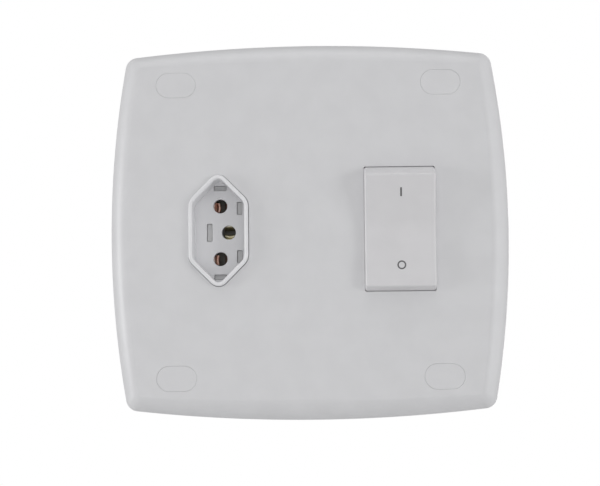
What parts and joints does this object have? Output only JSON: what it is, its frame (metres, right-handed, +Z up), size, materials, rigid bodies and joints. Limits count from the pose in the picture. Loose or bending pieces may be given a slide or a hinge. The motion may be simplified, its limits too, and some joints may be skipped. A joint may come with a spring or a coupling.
{
  "type": "switch and socket combination",
  "caption": "White wall plate that joins a recessed earthed round-pin socket and a double-pole on/off rocker switch, with capped wall screws.",
  "frame": {"origin": "centre of the four wall screws' pattern, in the plane of the wall behind the plate", "axes": "+Z up, +X to the right seen from the front, front faces -Y, +Y goes into the wall"},
  "size_m": [0.142, 0.0406, 0.134],
  "materials": {
    "white_plate": "satin moulded",
    "white_socket": "satin moulded",
    "white_rocker": "satin moulded",
    "grey_insulator": "matt moulded",
    "nylon": "natural nylon",
    "brass": "stamped",
    "contact_silver": "silver alloy",
    "zinc_steel": "zinc plated",
    "spring_steel": "drawn wire"
  },
  "bodies": {
    "plate": {"cover_plate": "white_plate", "screw_cap_top_left": "white_plate", "screw_cap_top_right": "white_plate", "screw_cap_bottom_left": "white_plate", "screw_cap_bottom_right": "white_plate", "socket_housing": "white_socket", "socket_back_cover": "grey_insulator", "contact_line": "brass", "socket_screw_line": "zinc_steel", "contact_neutral": "brass", "socket_screw_neutral": "zinc_steel", "contact_earth": "brass", "socket_screw_earth": "zinc_steel", "pivot_pin": "zinc_steel", "switch_housing": "grey_insulator", "switch_base": "grey_insulator", "cradle_terminal_line": "brass", "fixed_terminal_line": "brass", "fixed_contact_line": "contact_silver", "switch_screw_line_in": "zinc_steel", "switch_screw_line_out": "zinc_steel", "cradle_terminal_neutral": "brass", "fixed_terminal_neutral": "brass", "fixed_contact_neutral": "contact_silver", "switch_screw_neutral_in": "zinc_steel", "switch_screw_neutral_out": "zinc_steel"},
    "rocker": {"rocker": "white_rocker", "plunger_spring_line": "spring_steel", "plunger_spring_neutral": "spring_steel"},
    "plunger_line": {"plunger_line": "nylon"},
    "plunger_neutral": {"plunger_neutral": "nylon"},
    "lever_line": {"contact_lever_line": "brass", "moving_contact_line": "contact_silver"},
    "lever_neutral": {"contact_lever_neutral": "brass", "moving_contact_neutral": "contact_silver"}
  },
  "joints": [
    {"name": "rocker_hinge", "type": "hinge", "parent": "plate", "child": "rocker", "pos_m": [0.032, -0.004, 0], "axis": [-1, 0, 0], "range_deg": [0, 10]},
    {"name": "plunger_line_slide", "type": "slide", "parent": "rocker", "child": "plunger_line", "axis": [0, -0.9962, -0.0872], "range_m": [0, 0.0005], "stiffness_N_per_m": 200, "springref_m": -0.002, "deforming": ["plunger_spring_line"]},
    {"name": "plunger_neutral_slide", "type": "slide", "parent": "rocker", "child": "plunger_neutral", "axis": [0, -0.9962, -0.0872], "range_m": [0, 0.0005], "stiffness_N_per_m": 200, "springref_m": -0.002, "deforming": ["plunger_spring_neutral"]},
    {"name": "lever_line_hinge", "type": "hinge", "parent": "plate", "child": "lever_line", "pos_m": [0.0255, 0.0119, 0], "axis": [1, 0, 0], "range_deg": [0, 15]},
    {"name": "lever_neutral_hinge", "type": "hinge", "parent": "plate", "child": "lever_neutral", "pos_m": [0.0385, 0.0119, 0], "axis": [1, 0, 0], "range_deg": [0, 15]}
  ],
  "couplings": [
    {"joint": "lever_line_hinge", "follows": "rocker_hinge", "ratio": 1.5},
    {"joint": "lever_neutral_hinge", "follows": "rocker_hinge", "ratio": 1.5}
  ]
}
